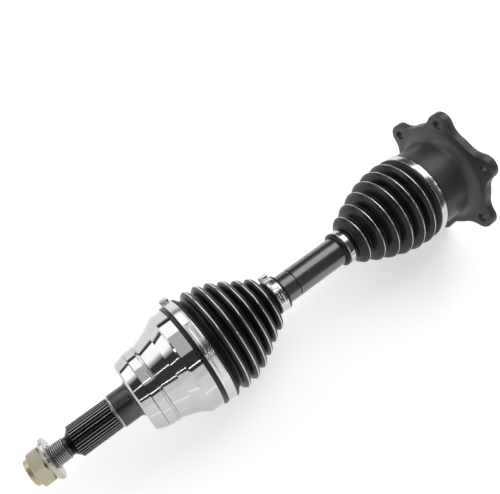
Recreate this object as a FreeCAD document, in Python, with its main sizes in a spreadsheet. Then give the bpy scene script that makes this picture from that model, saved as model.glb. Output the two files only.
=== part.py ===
import FreeCAD
import Part
import math
import os
import Sketcher
from FreeCAD import Placement, Rotation, Vector

# A front-wheel half shaft. X runs along the shaft from the inner mounting face
# (x = 0) to the wheel nut, Z is up. Millimetres throughout.
os.makedirs("parts", exist_ok=True)
doc = FreeCAD.newDocument("HalfShaft")
sheet = doc.addObject("Spreadsheet::Sheet", "Sizes")

ALONG_X = Rotation(Vector(0, 1, 0), 90)
LOBES = 6
BALLS = 6
TRUNNIONS = 3
FOLDS = 6


class Size:
    """A length that knows its number and the spreadsheet expression behind it."""

    def __init__(self, value, text):
        self.value = value
        self.text = text

    def joined(self, other, sign):
        if not isinstance(other, Size):
            other = Size(other, repr(other))
        results = {
            "+": lambda: self.value + other.value,
            "-": lambda: self.value - other.value,
            "*": lambda: self.value * other.value,
            "/": lambda: self.value / other.value,
        }
        return Size(results[sign](), f"({self.text} {sign} {other.text})")

    def __add__(self, other):
        return self.joined(other, "+")

    def __sub__(self, other):
        return self.joined(other, "-")

    def __mul__(self, other):
        return self.joined(other, "*")

    def __truediv__(self, other):
        return self.joined(other, "/")


row_count = 0


def size(alias, value):
    """Writes one driving size in the sheet and returns it."""
    global row_count
    row_count += 1
    sheet.set(f"A{row_count}", alias)
    sheet.set(f"B{row_count}", str(value))
    sheet.setAlias(f"B{row_count}", alias)
    return Size(value, f"Sizes.{alias}")


# ---- driving sizes: inner joint
flange_thick = size("flange_thick", 10)
flange_core = size("flange_core_radius", 68)
bolt_circle = size("bolt_circle_radius", 72.5)
bolt_hole = size("bolt_hole_radius", 5.5)
lobe_radius = size("lobe_radius", 13.5)
lobe_blend = size("lobe_blend_radius", 12)
housing_radius = size("housing_radius", 51)
housing_length = size("housing_length", 70)
housing_flare = size("housing_flare_radius", 12)
housing_bore = size("housing_bore_radius", 25)
track_start = size("track_start", 6.5)
track_floor = size("track_floor_radius", 42.5)
track_gap = size("track_side_gap", 1.1)
cap_seat = size("cap_seat_radius", 29)
cap_depth = size("cap_seat_depth", 5.5)
cap_thick = size("cap_wall", 2)
cap_inset = size("cap_inset", 1)
spider_at = size("spider_station", 44)
spider_hub = size("spider_hub_radius", 20)
spider_length = size("spider_hub_length", 22)
trunnion_radius = size("trunnion_radius", 8.6)
trunnion_reach = size("trunnion_reach", 39.6)
roller_radius = size("roller_radius", 18)
roller_width = size("roller_width", 12.6)
roller_at = size("roller_centre_radius", 31)
needle_radius = size("needle_radius", 1.25)
needle_length = size("needle_length", 11.6)
running_gap = size("running_gap", 0.04)
clip_thick = size("roller_clip_thickness", 1)
clip_depth = size("roller_clip_groove_depth", 0.9)
clip_width = size("roller_clip_width", 2.4)

# ---- driving sizes: shaft bar
bar_radius = size("bar_radius", 17.3)
bar_neck = size("bar_neck_radius", 14)
bar_end = size("bar_end_radius", 13.2)
bar_spline_root = size("bar_spline_root_radius", 12.3)
bar_spline_run = size("bar_spline_length", 27)
bar_groove_at = size("bar_groove_station", 250)
bar_groove_depth = size("bar_groove_depth", 1.6)
bar_groove_width = size("bar_groove_width", 2.6)
bar_taper = size("bar_taper_length", 20)
ring_thick = size("snap_ring_thickness", 1.6)
ring_width = size("snap_ring_width", 2.6)
ring_bite = size("snap_ring_groove_depth", 1)
slip_gap = size("slip_gap", 0.1)

# ---- driving sizes: outer joint
joint_at = size("outer_joint_station", 399)
ball_radius = size("ball_radius", 11.5)
ball_circle = size("ball_centre_radius", 36)
ball_gap = size("ball_track_gap", 1.4)
race_sphere = size("inner_race_sphere_radius", 31.6)
race_half = size("inner_race_half_length", 13)
cage_inner = size("cage_inner_radius", 32)
cage_outer = size("cage_outer_radius", 41)
cage_half = size("cage_half_length", 18)
window_gap = size("cage_window_gap", 0.15)
window_slack = size("cage_window_side_slack", 1.5)
bell_sphere = size("bell_sphere_radius", 41.4)
bell_mouth_radius = size("bell_mouth_radius", 41.5)
bell_mouth_depth = size("bell_mouth_depth", 8)
bell_end = size("bell_end_station", 373)
bell_face = size("bell_face_station", 461)
bell_seat = size("bell_boot_seat_radius", 57.6)
bell_rim = size("bell_rim_radius", 59.3)
bell_rim_length = size("bell_rim_length", 14.5)
boot_cover = size("boot_cover_on_bell", 17)
bell_waist_at = size("bell_waist_from_rim", 12.5)
bell_waist = size("bell_waist_radius", 51.2)
bell_rib = size("bell_rib_radius", 47)
bell_rib_width = size("bell_rib_width", 2.6)
bell_rib_at = size("bell_rib_from_face", 23.4)
bell_land = size("bell_land_radius", 44.6)
bell_nose = size("bell_nose_radius", 40.6)
bell_line_at = size("bell_line_from_face", 13.4)
bell_line_width = size("bell_line_width", 1)
bell_line_depth = size("bell_line_depth", 0.9)
edge_break = size("edge_break", 2)

# ---- driving sizes: stub, thread, nut
hub_radius = size("hub_radius", 19)
hub_length = size("hub_length", 24)
hub_blend = size("hub_blend_radius", 5)
spline_tip = size("spline_tip_radius", 17.6)
spline_root = size("spline_root_radius", 16.2)
spline_length = size("spline_length", 46.5)
nose_cone = size("stub_nose_cone_length", 5)
neck_length = size("thread_relief_length", 4)
neck_radius = size("thread_relief_radius", 10.4)
thread_radius = size("thread_radius", 12)
thread_root = size("thread_root_radius", 10.9)
thread_pitch = size("thread_pitch", 2)
thread_length = size("thread_length", 40)
nut_flats = size("nut_across_flats", 36)
nut_height = size("nut_hex_height", 13.6)
nut_at = size("nut_hex_station", 562.3)
nut_crown = size("nut_crown_radius", 14.6)
nut_crown_height = size("nut_crown_height", 5)
nut_spigot = size("nut_spigot_radius", 15.4)
nut_spigot_length = size("nut_spigot_length", 4.2)
nut_gap = size("nut_thread_gap", 0.4)
washer_radius = size("washer_radius", 23.5)
washer_thick = size("washer_thickness", 6.4)
washer_gap = size("washer_gap", 0.3)

# ---- driving sizes: boots and clamps
rubber = size("boot_wall", 2.4)
outer_crest_first = size("outer_boot_first_crest", 292.5)
outer_crest_last = size("outer_boot_last_crest", 359)
outer_crest_small = size("outer_boot_small_crest_radius", 33.8)
outer_crest_big = size("outer_boot_big_crest_radius", 61.8)
outer_fold_depth = size("outer_boot_fold_depth", 8)
outer_collar_at = size("outer_boot_small_collar_station", 267)
inner_crest_first = size("inner_boot_first_crest", 80)
inner_crest_last = size("inner_boot_last_crest", 159)
inner_crest_small = size("inner_boot_small_crest_radius", 31)
inner_crest_big = size("inner_boot_big_crest_radius", 55.3)
inner_fold_depth = size("inner_boot_fold_depth", 7)
inner_collar_at = size("inner_boot_small_collar_station", 183)
inner_cover = size("boot_cover_on_housing", 14)
small_collar = size("small_collar_length", 16)
band = size("clamp_band_thickness", 1.2)
outer_band_width = size("outer_large_clamp_width", 10.4)
small_band_width = size("small_clamp_width", 10.6)
inner_band_width = size("inner_large_clamp_width", 8.4)
inner_small_width = size("inner_small_clamp_width", 7)
ear_rise = size("clamp_ear_rise", 8)
ear_span = size("clamp_ear_span", 9)
small_ear_rise = size("small_clamp_ear_rise", 6)
ear_turn = size("clamp_ear_turn_degrees", 76)
notch_depth = size("clamp_lock_rise", 0.9)
lock_share = size("clamp_lock_half_width_share", 0.17)

bar_first = spider_at - spider_length / 2 - 4
bar_last = joint_at + race_half + 3
thread_at = bell_face + hub_length + spline_length + nose_cone + neck_length
doc.recompute()

finished = []


def keep(shape_object, name):
    """Names a finished sub-part and adds it to those that are written out."""
    shape_object.Label = name
    finished.append(shape_object)
    return shape_object


def bind(target, name, value):
    """Ties one property to the sheet, and fills in its number straight away."""
    if isinstance(value, Size):
        target.setExpression(name, value.text)
    else:
        setattr(target, name, value)


# ---- sketches and PartDesign features


def new_body(name):
    return doc.addObject("PartDesign::Body", name)


def origin_part(body, role):
    return next(f for f in body.Origin.OriginFeatures if f.Role == role)


def outline(body, name, plane, points, offset=None):
    """A closed outline whose corners are tied to the sheet."""
    sketch = body.newObject("Sketcher::SketchObject", name)
    sketch.AttachmentSupport = (origin_part(body, plane), [""])
    sketch.MapMode = "FlatFace"
    if offset is not None:
        sketch.setExpression("AttachmentOffset.Base.z", offset.text)
    spots = [Vector(number(x), number(y), 0) for x, y in points]
    count = len(spots)
    for i, spot in enumerate(spots):
        sketch.addGeometry(Part.LineSegment(spot, spots[(i + 1) % count]), False)
    rules = [
        Sketcher.Constraint("Coincident", i, 2, (i + 1) % count, 1) for i in range(count)
    ]
    ties = []
    for i, (x, y) in enumerate(points):
        for kind, value in (("DistanceX", x), ("DistanceY", y)):
            ties.append((len(rules), value))
            rules.append(Sketcher.Constraint(kind, -1, 1, i, 1, number(value)))
    sketch.addConstraint(rules)
    for index, value in ties:
        if isinstance(value, Size):
            sketch.setExpression(f"Constraints[{index}]", value.text)
    return sketch


def number(value):
    return value.value if isinstance(value, Size) else float(value)


def circles(body, name, plane, spots, offset=None):
    """Round outlines, each given as centre x, centre y and radius."""
    sketch = body.newObject("Sketcher::SketchObject", name)
    sketch.AttachmentSupport = (origin_part(body, plane), [""])
    sketch.MapMode = "FlatFace"
    if offset is not None:
        sketch.setExpression("AttachmentOffset.Base.z", offset.text)
    for i, (x, y, radius) in enumerate(spots):
        centre = Vector(number(x), number(y), 0)
        sketch.addGeometry(Part.Circle(centre, Vector(0, 0, 1), number(radius)), False)
        first = sketch.ConstraintCount
        sketch.addConstraint(
            [
                Sketcher.Constraint("DistanceX", -1, 1, i, 3, number(x)),
                Sketcher.Constraint("DistanceY", -1, 1, i, 3, number(y)),
                Sketcher.Constraint("Radius", i, number(radius)),
            ]
        )
        for step, value in enumerate((x, y, radius)):
            if isinstance(value, Size):
                sketch.setExpression(f"Constraints[{first + step}]", value.text)
    return sketch


def revolve(body, name, points, kind="Revolution"):
    """Turns an outline about the shaft axis, adding or cutting material."""
    sketch = outline(body, name + "_outline", "XY_Plane", points)
    turned = body.newObject("PartDesign::" + kind, name)
    turned.Profile = sketch
    turned.ReferenceAxis = (sketch, ["H_Axis"])
    turned.Angle = 360
    body.Tip = turned
    return turned


def pad(body, name, sketch, length):
    raised = body.newObject("PartDesign::Pad", name)
    raised.Profile = sketch
    bind(raised, "Length", length)
    body.Tip = raised
    return raised


def pocket(body, name, sketch, length):
    """Cuts along +X, the way a sketch on the YZ plane faces."""
    cut = body.newObject("PartDesign::Pocket", name)
    cut.Profile = sketch
    bind(cut, "Length", length)
    cut.Reversed = True
    body.Tip = cut
    return cut


def around(body, name, feature, count):
    """Repeats a feature evenly about the shaft axis."""
    pattern = body.newObject("PartDesign::PolarPattern", name)
    pattern.Originals = [feature]
    pattern.Axis = (origin_part(body, "X_Axis"), [""])
    pattern.Angle = 360
    pattern.Occurrences = count
    body.Tip = pattern
    return pattern


def spline_teeth(body, name, start, length, root, tip, count):
    """Straight teeth that stand on a turned journal."""
    half_root = root * (1.9 / count)
    half_tip = tip * (0.9 / count)
    sunk = root - 0.5
    tooth = outline(
        body,
        name + "_tooth",
        "YZ_Plane",
        [
            (sunk, half_root * -1),
            (root, half_root * -1),
            (tip, half_tip * -1),
            (tip, half_tip),
            (root, half_root),
            (sunk, half_root),
        ],
        start,
    )
    first = pad(body, name + "_pad", tooth, length)
    return around(body, name + "_teeth", first, count)


# ---- Part primitives on the shaft axis


def rod(name, start, length, radius):
    """A plain cylinder along the shaft axis."""
    made = doc.addObject("Part::Cylinder", name)
    bind(made, "Radius", radius)
    bind(made, "Height", length)
    made.Placement = Placement(Vector(number(start), 0, 0), ALONG_X)
    if isinstance(start, Size):
        made.setExpression("Placement.Base.x", start.text)
    return made


def globe(name, centre, radius):
    made = doc.addObject("Part::Sphere", name)
    bind(made, "Radius", radius)
    made.setExpression("Placement.Base.x", centre.text)
    return made


def post(name, start, length, radius):
    """A cylinder that stands up along Z, before its parent is turned."""
    made = doc.addObject("Part::Cylinder", name)
    bind(made, "Radius", radius)
    bind(made, "Height", length)
    made.setExpression("Placement.Base.z", start.text)
    return made


def cut(name, base, tool):
    made = doc.addObject("Part::Cut", name)
    made.Base = base
    made.Tool = tool
    return made


def common(name, first, second):
    made = doc.addObject("Part::Common", name)
    made.Base = first
    made.Tool = second
    return made


def fuse(name, pieces):
    made = doc.addObject("Part::MultiFuse", name)
    made.Shapes = pieces
    return made


def turned_about_x(made, angle, station):
    """Turns a piece about the shaft axis and slides it to its station."""
    made.Placement = Placement(Vector(number(station), 0, 0), Rotation(Vector(1, 0, 0), angle))
    made.setExpression("Placement.Base.x", station.text)
    return made


def edges_where(shape, test):
    return [f"Edge{i + 1}" for i, edge in enumerate(shape.Edges) if test(edge)]


# ---- inner joint


def make_housing():
    """Tulip housing: lobed flange, round body, three roller tracks inside."""
    body = new_body("inner_housing_body")
    revolve(
        body,
        "housing_blank",
        [
            (0, 0),
            (housing_length, 0),
            (housing_length, housing_radius - 1),
            (housing_length - 1, housing_radius),
            (flange_thick, housing_radius),
            (flange_thick, flange_core),
            (0, flange_core),
        ],
    )
    lobe_sketch = circles(body, "lobe_outline", "YZ_Plane", [(bolt_circle, 0, lobe_radius)])
    lobe = pad(body, "lobe", lobe_sketch, flange_thick)
    neck = outline(
        body,
        "lobe_neck_outline",
        "YZ_Plane",
        [
            (flange_core - 8, lobe_radius * -1),
            (bolt_circle, lobe_radius * -1),
            (bolt_circle, lobe_radius),
            (flange_core - 8, lobe_radius),
        ],
    )
    lobe_neck = pad(body, "lobe_neck", neck, flange_thick)
    pattern = body.newObject("PartDesign::PolarPattern", "lobes")
    pattern.Originals = [lobe, lobe_neck]
    pattern.Axis = (origin_part(body, "X_Axis"), [""])
    pattern.Angle = 360
    pattern.Occurrences = LOBES
    body.Tip = pattern
    doc.recompute()

    reach = math.hypot(
        math.sqrt(number(flange_core) ** 2 - number(lobe_radius) ** 2), number(lobe_radius)
    )

    def between_lobes(edge):
        box = edge.BoundBox
        across = math.hypot(box.Center.y, box.Center.z)
        upright = box.XLength > 0.9 * number(flange_thick) and max(box.YLength, box.ZLength) < 0.01
        return upright and abs(across - reach) < 0.5

    blends = body.newObject("PartDesign::Fillet", "lobe_blends")
    blends.Base = (pattern, edges_where(pattern.Shape, between_lobes))
    bind(blends, "Radius", lobe_blend)
    body.Tip = blends
    doc.recompute()

    def at_flare(edge):
        curve = edge.Curve
        is_round = isinstance(curve, Part.Circle)
        return (
            is_round
            and abs(curve.Radius - number(housing_radius)) < 0.01
            and abs(edge.BoundBox.XMin - number(flange_thick)) < 0.01
            and edge.BoundBox.XLength < 0.01
        )

    flare = body.newObject("PartDesign::Fillet", "housing_flare_blend")
    flare.Base = (blends, edges_where(blends.Shape, at_flare))
    bind(flare, "Radius", housing_flare)
    body.Tip = flare

    revolve(
        body,
        "housing_bore_cut",
        [
            (-1, 0),
            (housing_length + 1, 0),
            (housing_length + 1, housing_bore + 3),
            (housing_length - 2, housing_bore),
            (cap_depth, housing_bore),
            (cap_depth, cap_seat),
            (-1, cap_seat),
        ],
        "Groove",
    )
    half = roller_radius + track_gap
    channel = outline(
        body,
        "track_outline",
        "YZ_Plane",
        [
            (0, half * -1),
            (track_floor - 4, half * -1),
            (track_floor, half * -1 + 4),
            (track_floor, half - 4),
            (track_floor - 4, half),
            (0, half),
        ],
        track_start,
    )
    one_track = pocket(body, "track", channel, housing_length)
    around(body, "tracks", one_track, TRUNNIONS)
    hole_sketch = circles(body, "bolt_hole_outline", "YZ_Plane", [(bolt_circle, 0, bolt_hole)])
    one_hole = pocket(body, "bolt_hole", hole_sketch, flange_thick * 2)
    around(body, "bolt_holes", one_hole, LOBES)
    return keep(body, "inner_housing")


def make_end_cap():
    """Pressed steel cup that closes the flange end of the housing."""
    body = new_body("end_cap_body")
    outside = cap_seat - slip_gap
    revolve(
        body,
        "cup",
        [
            (cap_inset, outside - cap_thick),
            (cap_inset, outside),
            (cap_depth - slip_gap, outside),
            (cap_depth - slip_gap, 0),
            (cap_depth - slip_gap - cap_thick, 0),
            (cap_depth - slip_gap - cap_thick, outside - cap_thick),
        ],
    )
    return keep(body, "housing_end_cap")


def make_spider():
    """Three trunnions on a splined hub, with a clip groove near each tip."""
    hub = rod("spider_hub", spider_at - spider_length / 2, spider_length, spider_hub)
    arms = []
    for k in range(TRUNNIONS):
        arm = post(f"trunnion_post_{k}", spider_hub - 6, trunnion_reach - spider_hub + 6, trunnion_radius)
        groove_outer = post(f"clip_groove_outer_{k}", clip_station(), clip_thick + 0.1, trunnion_radius + 1)
        groove_core = post(
            f"clip_groove_core_{k}", clip_station() - 1, clip_thick + 3, trunnion_radius - clip_depth
        )
        groove = cut(f"clip_groove_{k}", groove_outer, groove_core)
        arms.append(turned_about_x(cut(f"trunnion_{k}", arm, groove), arm_angle(k), spider_at))
    whole = fuse("spider_blank", [hub] + arms)
    bore = rod("spider_bore", spider_at - spider_length, spider_length * 2, bar_end + slip_gap)
    return keep(cut("spider", whole, bore), "tripod_spider")


def clip_station():
    return roller_at + roller_width / 2 + 0.2


def arm_angle(k):
    """Trunnion 0 points along +Y; its own upright form points along +Z."""
    return -90 + 360 / TRUNNIONS * k


def make_rollers():
    letters = "abc"
    bore = trunnion_radius + needle_radius * 2 + running_gap * 2
    for k, letter in enumerate(letters):
        ball = doc.addObject("Part::Sphere", f"roller_ball_{letter}")
        bind(ball, "Radius", roller_radius)
        ball.setExpression("Placement.Base.z", roller_at.text)
        slab = post(f"roller_slab_{letter}", roller_at - roller_width / 2, roller_width, roller_radius)
        hole = post(f"roller_hole_{letter}", roller_at - roller_width, roller_width * 2, bore)
        barrel = common(f"roller_barrel_{letter}", ball, slab)
        roller = turned_about_x(cut(f"roller_{letter}_cut", barrel, hole), arm_angle(k), spider_at)
        keep(roller, f"roller_{letter}")
        keep(needle_set(letter, arm_angle(k)), f"needles_{letter}")
        keep(roller_clip(letter, arm_angle(k)), f"roller_clip_{letter}")


def needle_set(letter, angle):
    """A full ring of loose needles round one trunnion."""
    circle = number(trunnion_radius) + number(running_gap) + number(needle_radius)
    count = int(2 * math.pi * circle / (2.08 * number(needle_radius)))
    low = number(roller_at) - number(needle_length) / 2
    needles = []
    for n in range(count):
        turn = 2 * math.pi * n / count
        spot = Vector(circle * math.cos(turn), circle * math.sin(turn), low)
        needles.append(Part.makeCylinder(number(needle_radius), number(needle_length), spot))
    feature = doc.addObject("Part::Feature", f"needle_ring_{letter}")
    feature.Shape = Part.makeCompound(needles)
    return turned_about_x(feature, angle, spider_at)


def open_ring(name, low, thickness, inside, outside, gap_angle=40):
    """A flat ring standing on Z with a gap, as a snap ring has."""
    feature = doc.addObject("Part::Feature", name)
    sweep = 360 - gap_angle
    outer = Part.makeCylinder(outside, thickness, Vector(0, 0, low), Vector(0, 0, 1), sweep)
    inner = Part.makeCylinder(inside, thickness * 3, Vector(0, 0, low - thickness))
    feature.Shape = outer.cut(inner)
    return feature


def roller_clip(letter, angle):
    inside = number(trunnion_radius) - number(clip_depth) + number(slip_gap)
    low = number(clip_station()) + 0.05
    ring = open_ring(f"clip_ring_{letter}", low, number(clip_thick), inside, inside + number(clip_width))
    return turned_about_x(ring, angle, spider_at)


def snap_ring(name, label, station):
    """Snap ring in a groove of the bar, flat on the shaft axis."""
    inside = number(bar_end) - number(ring_bite) + number(slip_gap)
    outside = inside + number(ring_width)
    ring = open_ring(name, 0, number(ring_thick), inside, outside)
    ring.Placement = Placement(Vector(number(station), 0, 0), ALONG_X)
    return keep(ring, label)


def make_snap_rings():
    half = spider_length / 2
    snap_ring("snap_ring_1", "spider_ring_inboard", spider_at - half - ring_thick - slip_gap)
    snap_ring("snap_ring_2", "spider_ring_outboard", spider_at + half + slip_gap)
    snap_ring("snap_ring_3", "race_ring", joint_at + race_half + slip_gap)


# ---- shaft bar


def ring_groove(body, name, start):
    width = ring_thick + slip_gap * 2
    floor = bar_end - ring_bite
    top = bar_end + 2
    points = [(start, floor), (start + width, floor), (start + width, top), (start, top)]
    return revolve(body, name, points, "Groove")


def make_bar():
    body = new_body("shaft_bar_body")
    shoulder = joint_at - race_half - slip_gap
    inner_run = spider_at + bar_spline_run
    wide_from = inner_collar_at - small_collar - bar_taper - 4
    wide_to = outer_collar_at + small_collar + 12
    revolve(
        body,
        "bar_blank",
        [
            (bar_first, 0),
            (bar_first, bar_spline_root - 1),
            (bar_first + 1, bar_spline_root),
            (inner_run, bar_spline_root),
            (inner_run + 2, bar_neck),
            (wide_from, bar_neck),
            (wide_from + bar_taper, bar_radius),
            (bar_groove_at - bar_groove_width / 2, bar_radius),
            (bar_groove_at - bar_groove_width / 4, bar_radius - bar_groove_depth),
            (bar_groove_at + bar_groove_width / 4, bar_radius - bar_groove_depth),
            (bar_groove_at + bar_groove_width / 2, bar_radius),
            (wide_to, bar_radius),
            (wide_to + bar_taper * 2, bar_neck),
            (shoulder, bar_neck),
            (shoulder, bar_spline_root),
            (bar_last - 1, bar_spline_root),
            (bar_last, bar_spline_root - 1),
            (bar_last, 0),
        ],
    )
    teeth = 24
    start = bar_first + 1
    spline_teeth(body, "inboard_spline", start, inner_run - start, bar_spline_root, bar_end, teeth)
    spline_teeth(
        body, "outboard_spline", shoulder, bar_last - 1 - shoulder, bar_spline_root, bar_end, teeth
    )
    half = spider_length / 2
    ring_groove(body, "spider_groove_in", spider_at - half - ring_thick - slip_gap * 2)
    ring_groove(body, "spider_groove_out", spider_at + half)
    ring_groove(body, "race_groove", joint_at + race_half)
    return keep(body, "shaft_bar")


# ---- outer joint


def track_ring(name, angle, minor, sweep):
    """A curved ball track, lying in the plane of the shaft axis at one azimuth."""
    ring = doc.addObject("Part::Torus", name)
    bind(ring, "Radius1", ball_circle)
    bind(ring, "Radius2", minor)
    ring.Angle3 = sweep
    upright = Rotation(Vector(1, 0, 0), 90)  # the ring's own plane becomes XZ
    centred = Rotation(Vector(0, 1, 0), -(90 - sweep / 2))
    around_x = Rotation(Vector(1, 0, 0), angle)
    ring.Placement = Placement(Vector(number(joint_at), 0, 0), around_x * centred * upright)
    ring.setExpression("Placement.Base.x", joint_at.text)
    return ring


def ball_angle(k):
    """Ball 0 is at the top; the angle turns +Z about the shaft axis."""
    return 360 / BALLS * k


def make_inner_race():
    """Star-shaped race with six curved tracks."""
    blank = common(
        "race_blank",
        globe("race_globe", joint_at, race_sphere),
        rod("race_slab", joint_at - race_half, race_half * 2, race_sphere),
    )
    tools = [rod("race_bore", joint_at - race_half * 2, race_half * 4, bar_end + slip_gap)]
    for k in range(BALLS):
        tools.append(track_ring(f"race_track_{k}", ball_angle(k), ball_radius + ball_gap, 120))
    return keep(cut("race_cut", blank, fuse("race_tools", tools)), "inner_race")


def make_cage():
    """Ball cage: a spherical band with six windows."""
    outer = globe("cage_outer_globe", joint_at, cage_outer)
    inner = globe("cage_inner_globe", joint_at, cage_inner)
    slab = rod("cage_slab", joint_at - cage_half, cage_half * 2, cage_outer)
    band_blank = cut("cage_shell", common("cage_band", outer, slab), inner)
    windows = []
    half_x = ball_radius + window_gap
    half_y = ball_radius + window_slack
    for k in range(BALLS):
        window = doc.addObject("Part::Box", f"cage_window_{k}")
        bind(window, "Length", half_x * 2)
        bind(window, "Width", half_y * 2)
        bind(window, "Height", cage_outer)
        lift = Placement(Vector(-number(half_x), -number(half_y), 0), Rotation())
        turn = Placement(Vector(number(joint_at), 0, 0), Rotation(Vector(1, 0, 0), ball_angle(k)))
        window.Placement = turn.multiply(lift)
        windows.append(window)
    return keep(cut("cage_cut", band_blank, fuse("cage_windows", windows)), "ball_cage")


def make_balls():
    for k in range(BALLS):
        turn = math.radians(ball_angle(k))
        ball = doc.addObject("Part::Sphere", f"ball_shape_{k}")
        bind(ball, "Radius", ball_radius)
        ball.setExpression("Placement.Base.x", joint_at.text)
        side = ball_circle * -math.sin(turn)
        rise = ball_circle * math.cos(turn)
        ball.setExpression("Placement.Base.y", side.text)
        ball.setExpression("Placement.Base.z", rise.text)
        keep(ball, f"ball_{k + 1}")


def bell_outline():
    """Corner points of the bell and stub from the mouth to the tip of the thread."""
    seat_end = bell_end + boot_cover
    rim_end = seat_end + bell_rim_length
    rib_far = bell_face - bell_rib_at
    line_far = bell_face - bell_line_at
    slope = bell_rib_width / 4
    stub = bell_face + hub_length
    spline_end = stub + spline_length
    cone_end = spline_end + nose_cone
    return [
        (bell_end, 0),
        (bell_end, bell_seat - 1),
        (bell_end + 1, bell_seat),
        (seat_end, bell_seat),
        (seat_end, bell_rim - 0.5),
        (seat_end + 0.5, bell_rim),
        (rim_end, bell_rim),
        (rim_end + 1.5, bell_rim - 1.5),
        (rim_end + bell_waist_at, bell_waist),
        (rib_far - bell_rib_width, bell_land),
        (rib_far - bell_rib_width + slope, bell_rib),
        (rib_far - slope, bell_rib),
        (rib_far, bell_land + 0.6),
        (line_far + bell_line_width * -0.5, bell_land),
        (line_far, bell_land - bell_line_depth),
        (line_far + bell_line_width / 2, bell_land - 0.3),
        (bell_face - edge_break, bell_nose),
        (bell_face, bell_nose - edge_break),
        (bell_face, hub_radius),
        (stub - 1, hub_radius),
        (stub, spline_tip),
        (stub + 1.6, spline_root),
        (spline_end, spline_root),
        (cone_end, thread_radius - 0.6),
        (cone_end, neck_radius),
        (thread_at, neck_radius),
        (thread_at + 1, thread_radius),
        (thread_at + thread_length - 1.5, thread_radius),
        (thread_at + thread_length, thread_radius - 1.5),
        (thread_at + thread_length, 0),
    ]


def make_outer_race():
    """Bell, hub, splined stub and thread, forged in one piece."""
    body = new_body("bell_body")
    blank = revolve(body, "bell_blank", bell_outline())
    doc.recompute()

    def at_hub_root(edge):
        curve = edge.Curve
        return (
            isinstance(curve, Part.Circle)
            and abs(curve.Radius - number(hub_radius)) < 0.01
            and abs(edge.BoundBox.XMin - number(bell_face)) < 0.01
        )

    blend = body.newObject("PartDesign::Fillet", "hub_blend_fillet")
    blend.Base = (blank, edges_where(blank.Shape, at_hub_root))
    bind(blend, "Radius", hub_blend)
    body.Tip = blend
    spline_start = bell_face + hub_length + 1.2
    spline_teeth(
        body, "stub_spline", spline_start, spline_length - 1.2, spline_root, spline_tip, 33
    )
    first = thread_at + 1.4
    ridge = [
        (first, thread_radius + 0.2),
        (first + thread_pitch / 2, thread_root),
        (first + thread_pitch, thread_radius + 0.2),
    ]
    valley = revolve(body, "thread_valley", ridge, "Groove")
    valleys = body.newObject("PartDesign::LinearPattern", "thread_valleys")
    valleys.Originals = [valley]
    valleys.Direction = (origin_part(body, "X_Axis"), [""])
    count = int((number(thread_length) - 3.5) / number(thread_pitch))
    valleys.Length = number(thread_pitch) * (count - 1)
    valleys.setExpression("Length", (thread_pitch * (count - 1)).text)
    valleys.Occurrences = count
    body.Tip = valleys

    tools = [globe("bell_globe", joint_at, bell_sphere)]
    mouth = doc.addObject("Part::Cone", "bell_mouth_cone")
    grow = bell_mouth_radius - 31.5
    bind(mouth, "Radius1", bell_mouth_radius + grow / bell_mouth_depth)
    bind(mouth, "Radius2", bell_mouth_radius - grow)
    bind(mouth, "Height", bell_mouth_depth + 1)
    mouth.Placement = Placement(Vector(number(bell_end) - 1, 0, 0), ALONG_X)
    mouth.setExpression("Placement.Base.x", (bell_end - 1).text)
    tools.append(mouth)
    tools.append(rod("bell_mouth_rod", bell_end - 1, joint_at - bell_end + 1, bell_mouth_radius - grow))
    for k in range(BALLS):
        tools.append(track_ring(f"bell_track_{k}", ball_angle(k), ball_radius + ball_gap, 110))
    return keep(cut("bell_cut", body, fuse("bell_tools", tools)), "outer_race")


# ---- nut and washer


def make_washer():
    """Captive conical washer that turns freely on the nut's spigot."""
    body = new_body("washer_body")
    end = nut_at - washer_gap
    start = end - washer_thick
    inside = nut_spigot + washer_gap
    revolve(
        body,
        "washer_ring",
        [
            (start, thread_radius + 1.2),
            (start, washer_radius - 0.8),
            (start + 0.8, washer_radius),
            (start + washer_thick * 0.5, washer_radius),
            (end, washer_radius - 3.6),
            (end, inside),
            (end - nut_spigot_length, inside),
            (end - nut_spigot_length - washer_gap, thread_radius + 1.2),
        ],
    )
    return keep(body, "nut_washer")


def make_nut():
    """Hexagon nut with a round crown and a spigot for the captive washer."""
    body = new_body("nut_body")
    corner = nut_flats / math.sqrt(3)
    points = []
    for k in range(6):
        turn = math.radians(60 * k + 12)
        points.append((corner * math.cos(turn), corner * math.sin(turn)))
    hexagon = outline(body, "hexagon", "YZ_Plane", points, nut_at)
    pad(body, "hex_block", hexagon, nut_height)
    end = nut_at + nut_height
    bore = thread_radius + nut_gap
    revolve(
        body,
        "crown",
        [
            (end - 1, bore),
            (end - 1, nut_crown + 0.6),
            (end, nut_crown + 0.6),
            (end + 0.6, nut_crown),
            (end + nut_crown_height - 1, nut_crown),
            (end + nut_crown_height, nut_crown - 1),
            (end + nut_crown_height, bore),
        ],
    )
    revolve(
        body,
        "spigot",
        [
            (nut_at - nut_spigot_length + washer_gap * 0.5, bore),
            (nut_at - nut_spigot_length + washer_gap * 0.5, nut_spigot),
            (nut_at + 1, nut_spigot),
            (nut_at + 1, bore),
        ],
    )
    inscribed = nut_flats / 2
    revolve(
        body,
        "outboard_chamfer",
        [
            (end - 2.6, corner + 0.6),
            (end + 0.001, inscribed - 0.6),
            (end + 0.001, corner + 2),
            (end - 2.6, corner + 2),
        ],
        "Groove",
    )
    revolve(
        body,
        "inboard_chamfer",
        [
            (nut_at - 0.001, inscribed),
            (nut_at + 1.4, corner + 0.2),
            (nut_at + 1.4, corner + 2),
            (nut_at - 0.001, corner + 2),
        ],
        "Groove",
    )
    revolve(
        body,
        "nut_bore",
        [
            (nut_at - nut_spigot_length - 1, 0),
            (end + nut_crown_height + 1, 0),
            (end + nut_crown_height + 1, bore),
            (nut_at - nut_spigot_length - 1, bore),
        ],
        "Groove",
    )
    return keep(body, "axle_nut")


# ---- boots


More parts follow.
